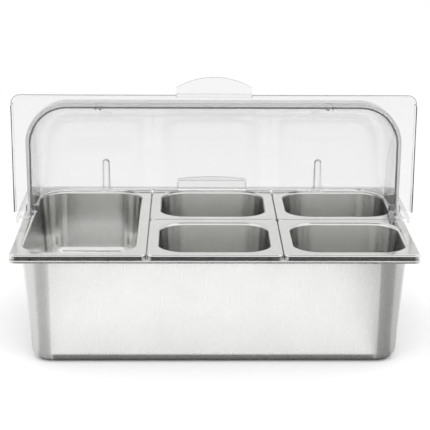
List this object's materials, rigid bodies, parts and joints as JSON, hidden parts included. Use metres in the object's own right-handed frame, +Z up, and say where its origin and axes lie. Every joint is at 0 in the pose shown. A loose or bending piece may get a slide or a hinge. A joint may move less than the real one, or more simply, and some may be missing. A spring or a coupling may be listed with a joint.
{
  "type": "condiment server",
  "caption": "Deep stainless pan with smaller pans hung in its mouth under a clear roll-top lid in two half shells, for serving cold condiments.",
  "frame": {"origin": "centre of the outer pan's base, on the surface it stands on", "axes": "+X along the length to the right as seen from the front, +Y to the rear, +Z up"},
  "size_m": [0.546, 0.347, 0.3574],
  "materials": {
    "stainless_outer": "satin",
    "stainless_inner": "bright satin",
    "clear_polycarbonate": "clear gloss",
    "clear_pivot": "clear gloss"
  },
  "bodies": {
    "base": {"outer_pan": "stainless_outer", "adapter_bar_left": "stainless_inner", "adapter_bar_right": "stainless_inner"},
    "inner_pans": {"third_pan_left": "stainless_inner", "sixth_pan_front_middle": "stainless_inner", "sixth_pan_rear_middle": "stainless_inner", "sixth_pan_front_right": "stainless_inner", "sixth_pan_rear_right": "stainless_inner"},
    "lid_rear": {"lid_rear_shell": "clear_polycarbonate", "pivot_pin_left": "clear_pivot", "pivot_pin_right": "clear_pivot", "pivot_washer_left": "clear_pivot", "pivot_washer_right": "clear_pivot", "pivot_cap_left": "clear_pivot", "pivot_cap_right": "clear_pivot"},
    "lid_front": {"lid_front_shell": "clear_polycarbonate"}
  },
  "joints": [
    {"name": "pans_lift", "type": "slide", "parent": "base", "child": "inner_pans", "axis": [0, 0, 1], "range_m": [0, 0.11]},
    {"name": "lid_lift", "type": "slide", "parent": "inner_pans", "child": "lid_rear", "axis": [0, 0, 1], "range_m": [0, 0.2]},
    {"name": "lid_front_swing", "type": "hinge", "parent": "lid_rear", "child": "lid_front", "pos_m": [0, 0, 0.1729], "axis": [1, 0, 0], "range_deg": [0, 90]}
  ]
}
